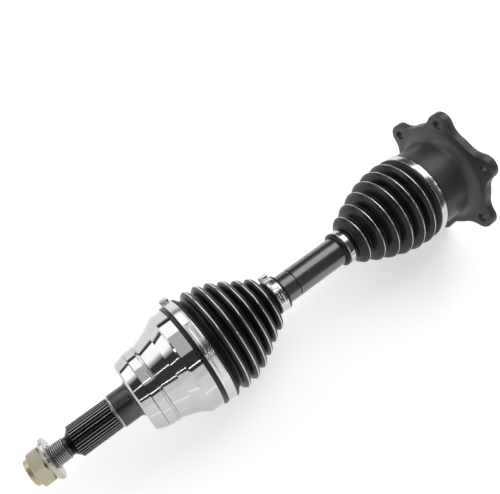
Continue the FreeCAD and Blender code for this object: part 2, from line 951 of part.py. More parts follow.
def fold_points(first, last, small, big, depth, power):
    """Crests and valleys of a bellows that widens from one end to the other."""
    points = []
    step = (last - first) / (FOLDS - 1)
    width = step * 0.16
    for k in range(FOLDS):
        share = math.sin(math.pi / 2 * k / (FOLDS - 1)) ** power
        centre = first + step * k
        top = small + (big - small) * share
        points += [(centre - width, top), (centre + width, top)]
        if k < FOLDS - 1:
            next_share = math.sin(math.pi / 2 * (k + 1) / (FOLDS - 1)) ** power
            low = small + (big - small) * ((share + next_share) / 2) - depth
            middle = centre + step * 0.5
            points += [(middle - width, low), (middle + width, low)]
    return points


def shell_outline(outside, inside_first, inside_last):
    """Closes an outer line into a thin wall. The two given corners end the bores."""
    inside = [(x, r - rubber) for x, r in reversed(outside[4:-4])]
    return outside + inside_last + inside + inside_first


def make_outer_boot():
    body = new_body("outer_boot_body")
    seat_small = bar_radius + slip_gap
    seat_big = bell_seat + slip_gap
    start = outer_collar_at
    end = bell_end + boot_cover - slip_gap * 2
    folds = fold_points(
        outer_crest_first,
        outer_crest_last,
        outer_crest_small,
        outer_crest_big,
        outer_fold_depth,
        1.2,
    )
    outside = [
        (start, seat_small),
        (start, seat_small + rubber),
        (start + small_collar, seat_small + rubber),
        (start + small_collar + 2, seat_small + rubber + 1.6),
        *folds,
        (bell_end - 5, seat_big + rubber - 4),
        (bell_end - 2.4, seat_big + rubber),
        (end, seat_big + rubber),
        (end, seat_big),
    ]
    inside_last = [(bell_end - slip_gap * 2, seat_big), (bell_end - slip_gap * 2 - 3, seat_big - 3.6)]
    inside_first = [
        (start + small_collar + 4, seat_small + 1.2),
        (start + small_collar + 2, seat_small),
    ]
    points = shell_outline(outside, inside_first, inside_last)
    revolve(body, "outer_bellows", points)
    return keep(body, "outer_boot")


def make_inner_boot():
    body = new_body("inner_boot_body")
    seat_small = bar_radius + slip_gap
    seat_big = housing_radius + slip_gap
    start = inner_collar_at
    end = housing_length - inner_cover
    folds = fold_points(
        inner_crest_last,
        inner_crest_first,
        inner_crest_small,
        inner_crest_big,
        inner_fold_depth,
        1.0,
    )
    outside = [
        (start, seat_small),
        (start, seat_small + rubber),
        (start - small_collar, seat_small + rubber),
        (start - small_collar - 2, seat_small + rubber + 1.6),
        *folds,
        (housing_length + 3.4, seat_big + rubber - 3),
        (housing_length + 1.2, seat_big + rubber),
        (end, seat_big + rubber),
        (end, seat_big),
    ]
    inside_last = [
        (housing_length + slip_gap * 2, seat_big),
        (housing_length + slip_gap * 2 + 2, seat_big - 2.6),
    ]
    inside_first = [
        (start - small_collar - 4, seat_small + 1.2),
        (start - small_collar - 2, seat_small),
    ]
    points = shell_outline(outside, inside_first, inside_last)
    revolve(body, "inner_bellows", points)
    return keep(body, "inner_boot")


# ---- clamps


def band_ring(body, name, start, width, inside):
    outside = inside + band
    points = [
        (start, inside),
        (start, outside - 0.3),
        (start + 0.3, outside),
        (start + width - 0.3, outside),
        (start + width, outside - 0.3),
        (start + width, inside),
    ]
    return revolve(body, name, points)


def ear_clamp(name, label, start, width, inside, rise, span):
    """Steel band whose pinched ear is drawn at the top and turned to the band's side."""
    body = new_body(name)
    band_ring(body, name + "_band", start, width, inside)
    foot = inside + band / 2
    half = span / 2
    ear = outline(
        body,
        name + "_ear_outline",
        "YZ_Plane",
        [
            (half * -1, foot),
            (half * -0.6, foot + rise),
            (half * 0.6, foot + rise),
            (half, foot),
            (half - band, foot),
            (half * 0.6 - band, foot + rise - band),
            (half * -0.6 + band, foot + rise - band),
            (half * -1 + band, foot),
        ],
        start + 0.4,
    )
    pad(body, name + "_ear", ear, width - 0.8)
    body.Placement = Placement(Vector(0, 0, 0), Rotation(Vector(1, 0, 0), number(ear_turn)))
    body.setExpression("Placement.Rotation.Angle", ear_turn.text + " * 1 deg")
    return keep(body, label)


def lock_clamp(name, label, start, width, inside):
    """Low steel band closed by a flat overlapped lock."""
    body = new_body(name)
    band_ring(body, name + "_band", start, width, inside)
    top = inside + band
    half = top * lock_share
    foot = inside + band * 0.3
    lift = top + notch_depth
    lock = outline(
        body,
        name + "_lock_outline",
        "YZ_Plane",
        [
            (half * -1, foot),
            (half * -1, lift - top * 0.014),
            (half * -0.5, lift - top * 0.0036),
            (0, lift),
            (half * 0.5, lift - top * 0.0036),
            (half, lift - top * 0.014),
            (half, foot),
        ],
        start + 0.3,
    )
    pad(body, name + "_lock", lock, width - 0.6)
    return keep(body, label)


def make_clamps():
    on_bell = bell_seat + slip_gap * 2 + rubber
    on_bar = bar_radius + slip_gap * 2 + rubber
    on_housing = housing_radius + slip_gap * 2 + rubber
    outer_start = bell_end + 2
    ear_clamp(
        "outer_large",
        "outer_large_clamp",
        outer_start,
        outer_band_width,
        on_bell,
        ear_rise,
        ear_span,
    )
    small_start = outer_collar_at + (small_collar - small_band_width) / 2
    ear_clamp(
        "outer_small", "outer_small_clamp", small_start, small_band_width, on_bar, small_ear_rise, ear_span
    )
    large_start = housing_length - inner_cover + 2.6
    lock_clamp("inner_large", "inner_large_clamp", large_start, inner_band_width, on_housing)
    lock_start = inner_collar_at - small_collar + (small_collar - inner_small_width) / 2
    lock_clamp("inner_small", "inner_small_clamp", lock_start, inner_small_width, on_bar)


make_housing()
make_end_cap()
make_spider()
make_rollers()
make_snap_rings()
make_bar()
make_inner_race()
make_cage()
make_balls()
make_outer_race()
make_washer()
make_nut()
make_outer_boot()
make_inner_boot()
make_clamps()
doc.recompute()

for thing in doc.Objects:
    bad = {"Invalid", "Error"} & set(thing.State)
    if bad:
        raise SystemExit(f"{thing.Name} ({thing.Label}) failed: {sorted(bad)}")
for thing in finished:
    shape = thing.Shape
    if shape.isNull() or not shape.isValid() or not shape.Solids:
        raise SystemExit(f"{thing.Label} has no valid solid")
for thing in finished:
    thing.Shape.exportStep(f"parts/{thing.Label}.step")
    print(f"{thing.Label}: {len(thing.Shape.Solids)} solids, {thing.Shape.Volume / 1000:.2f} cm3")
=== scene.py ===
import math

import bmesh
import bpy
from mathutils import Matrix, Vector


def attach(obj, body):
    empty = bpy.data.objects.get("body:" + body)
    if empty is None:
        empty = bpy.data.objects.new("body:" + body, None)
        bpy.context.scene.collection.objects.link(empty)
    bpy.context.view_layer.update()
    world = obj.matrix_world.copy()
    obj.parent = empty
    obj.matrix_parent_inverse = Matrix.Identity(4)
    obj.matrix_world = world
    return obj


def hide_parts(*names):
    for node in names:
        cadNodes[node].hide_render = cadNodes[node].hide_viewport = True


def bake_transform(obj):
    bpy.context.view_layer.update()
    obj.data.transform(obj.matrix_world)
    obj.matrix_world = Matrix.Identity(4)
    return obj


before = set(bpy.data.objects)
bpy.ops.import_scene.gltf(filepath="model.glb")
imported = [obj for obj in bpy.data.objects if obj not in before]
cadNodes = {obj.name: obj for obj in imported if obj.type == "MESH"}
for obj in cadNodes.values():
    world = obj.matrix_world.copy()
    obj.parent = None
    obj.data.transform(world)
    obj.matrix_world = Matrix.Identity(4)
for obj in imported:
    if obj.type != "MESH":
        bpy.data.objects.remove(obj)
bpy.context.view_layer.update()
mm = 0.001
print("frame loaded:", len(cadNodes), "pieces")


# finishes: each one is a Principled shader fed by patterns on Object coordinates
class Finish:
    def __init__(self, name, sockets):
        self.material = bpy.data.materials.new(name)
        self.material.use_nodes = True
        self.tree = self.material.node_tree
        self.shader = self.tree.nodes["Principled BSDF"]
        self.spot = self.tree.nodes.new("ShaderNodeTexCoord").outputs["Object"]
        for socket, value in sockets.items():
            self.shader.inputs[socket].default_value = value

    def add(self, kind, inputs=None, out=0, **settings):
        made = self.tree.nodes.new(kind)
        for key, value in settings.items():
            setattr(made, key, value)
        for key, value in (inputs or {}).items():
            if isinstance(value, bpy.types.NodeSocket):
                self.tree.links.new(value, made.inputs[key])
            else:
                made.inputs[key].default_value = value
        return made.outputs[out]

    def noise(self, scale, detail=3.0, stretch=(1, 1, 1)):
        spot = self.add("ShaderNodeMapping", {"Vector": self.spot, "Scale": stretch})
        return self.add("ShaderNodeTexNoise", {"Vector": spot, "Scale": scale, "Detail": detail})

    def around(self):
        # distance from the axle line, in metres
        flat = self.add("ShaderNodeMapping", {"Vector": self.spot, "Scale": (0, 1, 1)})
        return self.add("ShaderNodeVectorMath", {0: flat}, out=1, operation="LENGTH")

    def along(self):
        return self.add("ShaderNodeSeparateXYZ", {0: self.spot})

    def turned(self, scale, detail=2.0):
        # lathe marks: the same value all the way round, on faces and on cylinders
        total = self.add("ShaderNodeMath", {0: self.around(), 1: self.along()}, operation="ADD")
        return self.add(
            "ShaderNodeTexNoise", {"W": total, "Scale": scale, "Detail": detail}, noise_dimensions="1D"
        )

    def span(self, source, start, end, low=0.0, high=1.0):
        values = {"Value": source, 1: start, 2: end, 3: low, 4: high}
        return self.add("ShaderNodeMapRange", values)

    def tint(self, factor, first, second):
        values = {0: factor, 6: (*first, 1) if isinstance(first, tuple) else first}
        values[7] = (*second, 1) if isinstance(second, tuple) else second
        return self.add("ShaderNodeMix", values, out=2, data_type="RGBA")

    def pick(self, factor, first, second):
        return self.add("ShaderNodeMix", {0: factor, 2: first, 3: second}, data_type="FLOAT")

    def feed(self, socket, source):
        self.tree.links.new(source, self.shader.inputs[socket])

    def bump(self, height, strength, depth, under=None):
        values = {"Height": height, "Strength": strength, "Distance": depth}
        if under is not None:
            values["Normal"] = under
        return self.add("ShaderNodeBump", values)


def makeForgedBlack():
    finish = Finish("forgedBlack", {"Metallic": 0.15, "Specular IOR Level": 0.55, "Coat Weight": 0.12})
    mottle = finish.noise(38, 5)
    grain = finish.noise(900, 2)
    shade = finish.span(mottle, 0.3, 0.7)
    finish.feed("Base Color", finish.tint(shade, (0.026, 0.026, 0.028), (0.040, 0.040, 0.043)))
    finish.feed("Roughness", finish.span(mottle, 0.3, 0.75, 0.42, 0.54))
    finish.feed("Normal", finish.bump(grain, 0.10, 0.0004, finish.bump(finish.turned(420), 0.10, 0.0002)))
    return finish.material


def makeBarPaint():
    finish = Finish("barPaint", {"Metallic": 0.9, "Coat Weight": 0.5, "Coat Roughness": 0.2})
    cloud = finish.noise(60, 4, (0.25, 1, 1))
    shade = finish.span(cloud, 0.3, 0.7)
    finish.feed("Base Color", finish.tint(shade, (0.13, 0.13, 0.135), (0.17, 0.17, 0.175)))
    finish.feed("Roughness", finish.span(cloud, 0.3, 0.7, 0.24, 0.28))
    finish.feed("Normal", finish.bump(finish.noise(500, 2), 0.015, 0.0002))
    return finish.material


def makeBootRubber():
    # matt flanks, glossier ridges carrying a painted highlight: light grey metallic colour along each crest
    # line, where the ridge attribute is 1
    finish = Finish("bootRubber", {"Specular IOR Level": 0.22, "Coat Roughness": 0.07, "Coat IOR": 2.1})
    ridge = finish.add("ShaderNodeAttribute", out=2, attribute_name="ridge")
    bloom = finish.noise(55, 5)
    flank = finish.tint(finish.span(bloom, 0.35, 0.7), (0.005, 0.005, 0.006), (0.012, 0.012, 0.013))
    # painted highlight: crest lines coloured light grey instead of black rubber
    finish.feed("Base Color", finish.tint(ridge, flank, (0.55, 0.55, 0.56)))
    # painted highlight: crest lines made metallic so they read as bright lines
    finish.feed("Metallic", finish.span(ridge, 0, 1, 0, 0.8))
    finish.feed("Coat Weight", finish.span(ridge, 0, 1, 0.04, 0.8))
    finish.feed("Roughness", finish.pick(ridge, finish.span(bloom, 0.3, 0.75, 0.26, 0.42), 0.2))
    finish.feed("Normal", finish.bump(finish.noise(1300, 3), 0.06, 0.0003))
    return finish.material


def makeBandSteel():
    finish = Finish("bandSteel", {"Metallic": 1.0})
    rub = finish.noise(150, 4, (3, 1, 1))
    shade = finish.span(rub, 0.3, 0.7)
    finish.feed("Base Color", finish.tint(shade, (0.57, 0.575, 0.585), (0.61, 0.615, 0.62)))
    finish.feed("Roughness", finish.span(rub, 0.3, 0.7, 0.2, 0.23))
    return finish.material


def makeCapSteel():
    finish = Finish("capSteel", {"Metallic": 1.0})
    spangle = finish.noise(120, 3)
    shade = finish.span(spangle, 0.3, 0.7)
    finish.feed("Base Color", finish.tint(shade, (0.42, 0.43, 0.45), (0.58, 0.59, 0.6)))
    finish.feed("Roughness", finish.span(spangle, 0.3, 0.7, 0.24, 0.4))
    finish.feed("Normal", finish.bump(finish.turned(900), 0.12, 0.0002))
    return finish.material


def makeBearingSteel(name, light, dark, smooth, rough):
    finish = Finish(name, {"Metallic": 1.0})
    haze = finish.noise(90, 4)
    finish.feed("Base Color", finish.tint(finish.span(haze, 0.3, 0.7), dark, light))
    finish.feed("Roughness", finish.span(haze, 0.3, 0.7, smooth, rough))
    finish.feed("Normal", finish.bump(finish.noise(800, 3), 0.04, 0.0002))
    return finish.material


def makeMachinedSteel():
    # one forging: polished bell, oiled hub and spline, plain threaded nose; painted shade near black in the
    # tooth and thread roots, painted highlight lighter on the tooth tips
    finish = Finish("machinedSteel", {"Metallic": 1.0})
    station = finish.along()
    radius = finish.around()
    haze = finish.noise(45, 5)
    bell = finish.tint(finish.span(haze, 0.3, 0.7), (0.47, 0.475, 0.482), (0.53, 0.535, 0.54))
    hub = finish.tint(finish.span(haze, 0.3, 0.7), (0.045, 0.045, 0.047), (0.09, 0.09, 0.094))
    # painted shade in the tooth roots, painted highlight lighter grey on the tooth tips
    toothRootShadeTipHighlight = finish.tint(finish.span(radius, 0.0164, 0.0174), (0.012, 0.012, 0.013), (0.2, 0.2, 0.205))
    # painted shade: darker in the thread roots and below them, plain grey on the crests
    noseWithRootShade = finish.tint(finish.span(radius, 0.0109, 0.0119), (0.08, 0.08, 0.085), (0.52, 0.52, 0.535))
    onHub = finish.span(station, 0.4611, 0.4613)
    onTeeth = finish.span(station, 0.4855, 0.4862)
    onNose = finish.span(station, 0.5372, 0.5395)
    bare = finish.span(station, 0.4828, 0.4832)
    hub = finish.tint(bare, hub, (0.42, 0.42, 0.43))
    colour = finish.tint(onNose, finish.tint(onTeeth, finish.tint(onHub, bell, hub), toothRootShadeTipHighlight), noseWithRootShade)
    finish.feed("Base Color", colour)
    gloss = finish.pick(onHub, finish.span(haze, 0.3, 0.7, 0.05, 0.09), 0.3)
    gloss = finish.pick(onTeeth, gloss, 0.22)
    finish.feed("Roughness", finish.pick(onNose, gloss, 0.28))
    marks = finish.bump(finish.turned(2200, 3), 0.10, 0.00012)
    finish.feed("Normal", finish.bump(finish.noise(300, 2), 0.02, 0.0002, marks))
    return finish.material


def makeWasherZinc():
    finish = Finish("washerZinc", {"Metallic": 0.9})
    cloud = finish.noise(70, 4)
    drift = finish.noise(38, 2)
    shade = finish.tint(finish.span(drift, 0.35, 0.65), (0.47, 0.47, 0.46), (0.52, 0.47, 0.42))
    finish.feed("Base Color", finish.tint(finish.span(cloud, 0.45, 0.7), shade, (0.44, 0.46, 0.39)))
    finish.feed("Roughness", finish.span(cloud, 0.3, 0.7, 0.18, 0.3))
    finish.feed("Normal", finish.bump(finish.turned(1500), 0.12, 0.0002))
    return finish.material


def makeNutGoldZinc():
    finish = Finish("nutGoldZinc", {"Metallic": 0.8})
    cloud = finish.noise(65, 4)
    drift = finish.noise(30, 2)
    shade = finish.tint(finish.span(drift, 0.35, 0.65), (0.45, 0.42, 0.31), (0.42, 0.365, 0.245))
    finish.feed("Base Color", finish.tint(finish.span(cloud, 0.4, 0.75), shade, (0.42, 0.42, 0.32)))
    finish.feed("Roughness", finish.span(cloud, 0.3, 0.7, 0.30, 0.42))
    finish.feed("Normal", finish.bump(finish.noise(1100, 3), 0.10, 0.0003))
    return finish.material


finishes = {
    "forged_black": makeForgedBlack(),
    "cap_steel": makeCapSteel(),
    "bearing_steel": makeBearingSteel("bearingSteel", (0.62, 0.62, 0.63), (0.5, 0.5, 0.51), 0.12, 0.24),
    "ground_steel": makeBearingSteel("groundSteel", (0.7, 0.7, 0.71), (0.6, 0.6, 0.61), 0.06, 0.14),
    "spring_steel": makeBearingSteel("springSteel", (0.12, 0.12, 0.13), (0.07, 0.07, 0.08), 0.3, 0.42),
    "boot_rubber": makeBootRubber(),
    "band_steel": makeBandSteel(),
    "bar_paint": makeBarPaint(),
    "machined_steel": makeMachinedSteel(),
    "washer_zinc": makeWasherZinc(),
    "nut_gold_zinc": makeNutGoldZinc(),
}
slotOf = {
    "inner_housing": "forged_black",
    "housing_end_cap": "cap_steel",
    "tripod_spider": "bearing_steel",
    "spider_ring_inboard": "spring_steel",
    "spider_ring_outboard": "spring_steel",
    "race_ring": "spring_steel",
    "shaft_bar": "bar_paint",
    "inner_race": "bearing_steel",
    "ball_cage": "bearing_steel",
    "outer_race": "machined_steel",
    "nut_washer": "washer_zinc",
    "axle_nut": "nut_gold_zinc",
}
for key, node in cadNodes.items():
    kind = slotOf.get(key)
    if key.startswith(("roller_clip",)):
        kind = "spring_steel"
    elif key.startswith(("roller_", "needles_", "ball_")) and kind is None:
        kind = "ground_steel"
    if kind is None:
        kind = "boot_rubber" if key.endswith("_boot") else "band_steel"
    slotOf[key] = kind
    node.data.materials.clear()
    node.data.materials.append(finishes[kind])
print("finishes on the carried-over pieces")


# shapes
def finishMesh(name, mesh, slotName, sharp=32.0):
    mesh.validate()
    mesh.polygons.foreach_set("use_smooth", [True] * len(mesh.polygons))
    mesh.set_sharp_from_angle(angle=math.radians(sharp))
    mesh.update()
    piece = bpy.data.objects.new(name, mesh)
    bpy.context.scene.collection.objects.link(piece)
    mesh.materials.append(finishes[slotName])
    return piece


def softened(points, radii, steps=5):
    # rounds each corner of a closed line; radii is one number or one per corner
    total = len(points)
    if not isinstance(radii, (list, tuple)):
        radii = [radii] * total
    line = []
    for k, point in enumerate(points):
        here = Vector(point)
        before = Vector(points[k - 1])
        after = Vector(points[(k + 1) % total])
        toBefore, toAfter = before - here, after - here
        angle = toBefore.angle(toAfter)
        reach = radii[k] / max(math.tan(angle / 2), 1e-6)
        reach = min(reach, toBefore.length * 0.49, toAfter.length * 0.49)
        if radii[k] <= 0 or angle > 3.05:
            line.append(tuple(here))
            continue
        first = here + toBefore.normalized() * reach
        last = here + toAfter.normalized() * reach
        for step in range(steps + 1):
            t = step / steps
            line.append(tuple(first * (1 - t) ** 2 + here * 2 * t * (1 - t) + last * t * t))
    return line


def lathed(name, line, slotName, turns=160, sharp=32.0, start=0.0, sweep=360.0, ridges=None):
    # turns a closed (station, radius) line in mm about the axle line
    whole = sweep >= 360
    shape = bmesh.new()
    rings = []
    for k in range(turns if whole else turns + 1):
        angle = math.radians(start + sweep * k / turns)
        out = (math.sin(angle), math.cos(angle))
        rings.append([shape.verts.new((x * mm, r * out[0] * mm, r * out[1] * mm)) for x, r in line])
    count = len(line)
    for k in range(turns):
        here, there = rings[k], rings[(k + 1) % len(rings)]
        for j in range(count):
            shape.faces.new((here[j], here[(j + 1) % count], there[(j + 1) % count], there[j]))
    if not whole:
        shape.faces.new(rings[0])
        shape.faces.new(list(reversed(rings[-1])))
    bmesh.ops.recalc_face_normals(shape, faces=shape.faces)
    mesh = bpy.data.meshes.new(name)
    shape.to_mesh(mesh)
    shape.free()
    if ridges is not None:
        mark = mesh.attributes.new("ridge", "FLOAT", "POINT")
        mark.data.foreach_set("value", list(ridges) * len(rings))
    return finishMesh(name, mesh, slotName, sharp)


def strip(name, middle, thick, start, end, slotName, rounding=0.18):
    # sheet metal bent along a (y, z) line in mm, as wide as start to end on the axle line
    sides = ([], [])
    for k, point in enumerate(middle):
        before = Vector(middle[max(k - 1, 0)])
        after = Vector(middle[min(k + 1, len(middle) - 1)])
        run = (after - before).normalized()
        normal = Vector((-run.y, run.x)) * thick / 2
        sides[0].append(Vector(point) + normal)
        sides[1].append(Vector(point) - normal)
    loop = sides[0] + list(reversed(sides[1]))
    shape = bmesh.new()
    faces = []
    for x in (start, end):
        faces.append([shape.verts.new((x * mm, p.x * mm, p.y * mm)) for p in loop])
    half = len(middle)
    for k in range(len(loop)):
        nextOne = (k + 1) % len(loop)
        shape.faces.new((faces[0][k], faces[0][nextOne], faces[1][nextOne], faces[1][k]))
    for side in faces:
        for k in range(half - 1):
            shape.faces.new((side[k], side[k + 1], side[2 * half - 2 - k], side[2 * half - 1 - k]))
    bmesh.ops.recalc_face_normals(shape, faces=shape.faces)
    edges = [e for e in shape.edges if e.calc_face_angle(0) > math.radians(50)]
    bmesh.ops.bevel(shape, geom=edges, offset=rounding * mm, segments=2, affect="EDGES", profile=0.6)
    mesh = bpy.data.meshes.new(name)
    shape.to_mesh(mesh)
    shape.free()
    return finishMesh(name, mesh, slotName)


# inner housing: lobed flange plate and turned body
housing = {
    "thick": 10.0,
    "core": 68.0,
    "lobeAt": 70.6,
    "lobe": 15.4,
    "notch": 27.0,
    "hole": 5.5,
    "holeAt": 72.5,
    "capBore": 29.0,
    "capDepth": 5.5,
    "ledge": 25.0,
    "pocket": 6.5,
    "cavity": 46.0,
    "pilot": 47.5,
    "edge": 0.7,
    "body": 51.0,
    "length": 70.0,
    "flare": 13.0,
}


def arcPoints(centre, radius, first, last, steps):
    angles = [first + (last - first) * k / steps for k in range(steps + 1)]
    return [(centre[0] + radius * math.cos(a), centre[1] + radius * math.sin(a)) for a in angles]


def flangeOutline():
    # core circle, lobes and the hollow arcs that join them, going round once
    core, lobeAt, lobe, notch = (housing[key] for key in ("core", "lobeAt", "lobe", "notch"))
    far, near = core + notch, lobe + notch
    lean = math.acos((far * far + lobeAt * lobeAt - near * near) / (2 * far * lobeAt))
    hollow = Vector((far * math.cos(lean), far * math.sin(lean)))
    toLobe = Vector((lobeAt, 0)) - hollow
    entry = math.atan2(-toLobe.y, -toLobe.x)
    inward = math.atan2(toLobe.y, toLobe.x)
    points = []
    for k in range(6):
        turn = math.radians(60 * k)
        piece = arcPoints((lobeAt, 0), lobe, -entry, entry, 22)
        piece += arcPoints(hollow, notch, inward, lean - math.pi if inward < 0 else lean + math.pi, 10)[1:]
        piece += arcPoints((0, 0), core, lean, math.radians(60) - lean, 6)[1:]
        mirrored = [(x, -y) for x, y in arcPoints(hollow, notch, inward, lean - math.pi, 10)[1:-1]]
        rotated = Vector((math.cos(math.radians(60)), math.sin(math.radians(60))))
        for x, y in reversed(mirrored):
            piece.append((x * rotated.x - y * rotated.y, x * rotated.y + y * rotated.x))
        cosine, sine = math.cos(turn), math.sin(turn)
        points += [(x * cosine - y * sine, x * sine + y * cosine) for x, y in piece]
    return points


def plate(name, loops, low, high, edge, slotName):
    # flat plate across the axle line from closed (y, z) loops in mm, with broken edges
    curve = bpy.data.curves.new(name, "CURVE")
    curve.dimensions = "2D"
    curve.fill_mode = "BOTH"
    curve.extrude = (high - low) / 2 * mm - edge * mm
    curve.bevel_depth = edge * mm
    curve.bevel_resolution = 2
    curve.offset = -edge * mm
    for loop in loops:
        spline = curve.splines.new("POLY")
        spline.points.add(len(loop) - 1)
        for spot, (y, z) in zip(spline.points, loop):
            spot.co = (y * mm, z * mm, 0, 1)
        spline.use_cyclic_u = True
    helper = bpy.data.objects.new(name + "_line", curve)
    bpy.context.scene.collection.objects.link(helper)
    bpy.context.view_layer.update()
    mesh = bpy.data.meshes.new_from_object(helper.evaluated_get(bpy.context.evaluated_depsgraph_get()))
    bpy.data.objects.remove(helper)
    turn = Matrix(((0, 0, 1, (low + high) / 2 * mm), (1, 0, 0, 0), (0, 1, 0, 0), (0, 0, 0, 1)))
    mesh.transform(turn)
    shape = bmesh.new()
    shape.from_mesh(mesh)
    bmesh.ops.remove_doubles(shape, verts=shape.verts, dist=1e-6)
    bmesh.ops.recalc_face_normals(shape, faces=shape.faces)
    shape.to_mesh(mesh)
    shape.free()
    mesh.name = name
    mesh.materials.clear()
    return finishMesh(name, mesh, slotName, 28)


def circlePoints(centre, radius, steps=40):
    return arcPoints(centre, radius, 0, 2 * math.pi * (1 - 1 / steps), steps - 1)


holeSpots = [
    (housing["holeAt"] * math.cos(math.radians(60 * k)), housing["holeAt"] * math.sin(math.radians(60 * k)))
    for k in range(6)
]
loops = [flangeOutline(), circlePoints((0, 0), housing["pilot"], 96)]
loops += [circlePoints(spot, housing["hole"]) for spot in holeSpots]
flangePlate = plate("flange_plate", loops, 0, housing["thick"], housing["edge"], "forged_black")
flareTop = housing["body"] + housing["flare"]
flareEnd = housing["thick"] + housing["flare"]
bodyLine = [(housing["thick"] - 0.5, flareTop + 0.3)]
bodyLine += arcPoints((flareEnd, flareTop), housing["flare"], math.pi, math.pi * 1.5, 16)
bodyLine += [(housing["length"] - 1, housing["body"]), (housing["length"], housing["body"] - 1)]
capBore, capDepth, pocket = housing["capBore"], housing["capDepth"], housing["pocket"]
cavity, ledge, pilot = housing["cavity"], housing["ledge"], housing["pilot"] + 0.1
bodyLine += [(housing["length"], cavity + 0.5), (14, cavity), (pocket, 40), (pocket, ledge)]
bodyLine += [(capDepth, ledge), (capDepth, capBore), (0.4, capBore), (0, capBore + 0.4)]
bodyLine += [(0, pilot - 0.4), (0.4, pilot)]
bodyLine += [(capDepth, pilot), (capDepth, 60)]
housingBody = lathed("housing_body", bodyLine, "forged_black", 192, 28)
for piece in (flangePlate, housingBody):
    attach(piece, "inner_housing")
    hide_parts("inner_housing")
print("housing turned")


# boots: folded shells cut at valleys into separate spans
outerBoot = {
    "firstCrest": 292.5,
    "lastCrest": 359.0,
    "smallCrest": 33.8,
    "bigCrest": 61.8,
    "folds": 6,
    "depth": 11.0,
    "shoulder": 1.9,
    "power": 1.2,
    "wall": 1.8,
    "crestRound": 3.4,
    "valleyRound": 2.0,
    "smallSeat": 17.45,
    "bigSeat": 57.75,
}
innerBoot = {
    "firstCrest": 159.0,
    "lastCrest": 80.0,
    "smallCrest": 31.0,
    "bigCrest": 55.3,
    "folds": 6,
    "depth": 10.5,
    "shoulder": 2.6,
    "power": 1.0,
    "wall": 1.8,
    "crestRound": 3.8,
    "valleyRound": 2.4,
    "smallSeat": 17.45,
    "bigSeat": 51.15,
}


def bellowsLine(boot):
    # outer line from the small end to the big end: corners and their rounding
    line = []
    step = (boot["lastCrest"] - boot["firstCrest"]) / (boot["folds"] - 1)
    grow = boot["bigCrest"] - boot["smallCrest"]
    quarter = math.pi / 2 / (boot["folds"] - 1)
    shares = [math.sin(quarter * k) ** boot["power"] for k in range(boot["folds"])]
    for k, share in enumerate(shares):
        centre = boot["firstCrest"] + step * k
        top = boot["smallCrest"] + grow * share
        line.append((centre - step * 0.26, top - boot["shoulder"], boot["crestRound"]))
        line.append((centre, top + 0.7, 1.6))
        line.append((centre + step * 0.26, top - boot["shoulder"], boot["crestRound"]))
        if k < boot["folds"] - 1:
            low = boot["smallCrest"] + grow * (share + shares[k + 1]) / 2 - boot["depth"]
            line.append((centre + step * 0.5, low, boot["valleyRound"]))
    return line


def roundedOpen(corners, steps=7):
    # rounds the inner corners of an open line of (station, radius, rounding)
    line = [corners[0][:2]]
    for before, here, after in zip(corners, corners[1:], corners[2:]):
        spot = Vector(here[:2])
        back, ahead = Vector(before[:2]) - spot, Vector(after[:2]) - spot
        angle = back.angle(ahead)
        reach = here[2] / max(math.tan(angle / 2), 1e-6)
        reach = min(reach, back.length * 0.49, ahead.length * 0.49)
        if here[2] <= 0 or angle > 3.08:
            line.append(tuple(spot))
            continue
        first, last = spot + back.normalized() * reach, spot + ahead.normalized() * reach
        for k in range(steps + 1):
            t = k / steps
            line.append(tuple(first * (1 - t) ** 2 + spot * 2 * t * (1 - t) + last * t * t))
    line.append(corners[-1][:2])
    return line


def walled(line, wall):
    # the same line moved inwards by the wall, so the pair closes into a shell
    inner = []
    for k, point in enumerate(line):
        run = Vector(line[min(k + 1, len(line) - 1)]) - Vector(line[max(k - 1, 0)])
        normal = Vector((-run.y, run.x)).normalized()
        if normal.y > 0:
            normal = -normal
        inner.append((point[0] + normal.x * wall, point[1] + normal.y * wall))
    return inner


def cutLine(line, first, last):
    # the part of a line between two stations, with points exactly at the cuts
    low, high = min(first, last), max(first, last)
    kept = []
    for here, there in zip(line, line[1:]):
        if low <= here[0] <= high:
            kept.append(here)
        for cut in (low, high):
            if (here[0] - cut) * (there[0] - cut) < 0:
                t = (cut - here[0]) / (there[0] - here[0])
                kept.append((cut, here[1] + (there[1] - here[1]) * t))
    if low <= line[-1][0] <= high:
        kept.append(line[-1])
    return kept


def ridgeShare(point, crests):
    # mask of the painted crest highlight: 1 on a crest line, falling to 0 down its sides
    near = min(math.hypot(point[0] - x, point[1] - r) for x, r in crests)
    return max(0.0, min(1.0, (0.85 - near) / 0.5))


def makeBoot(title, boot, smallEnd, bigEnd, cuts, node):
    # smallEnd and bigEnd are the collar corners before and after the folds
    corners = smallEnd + bellowsLine(boot) + bigEnd
    outer = roundedOpen(corners)
    inner = walled(outer, boot["wall"])
    crests = [
        spot
        for before, spot, after in zip(outer, outer[1:], outer[2:])
        if spot[1] >= before[1] and spot[1] > after[1] and spot[1] > corners[0][1] + 5
    ]
    pieces = []
    stations = [corners[0][0], *cuts, corners[-1][0]]
    for k, (first, last) in enumerate(zip(stations, stations[1:])):
        top = cutLine(outer, first, last)
        under = cutLine(inner, first, last)
        # the inner line is squared off at the cut planes
        under[0] = (top[0][0], min(under[0][1], top[0][1] - 1))
        under[-1] = (top[-1][0], min(under[-1][1], top[-1][1] - 1))
        ridges = [ridgeShare(point, crests) for point in top] + [0.0] * len(under)
        line = top + list(reversed(under))
        piece = lathed(f"{title}_{k + 1}", line, "boot_rubber", 176, 50, ridges=ridges)
        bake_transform(piece)
        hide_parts(node)
        pieces.append(piece)
    return pieces


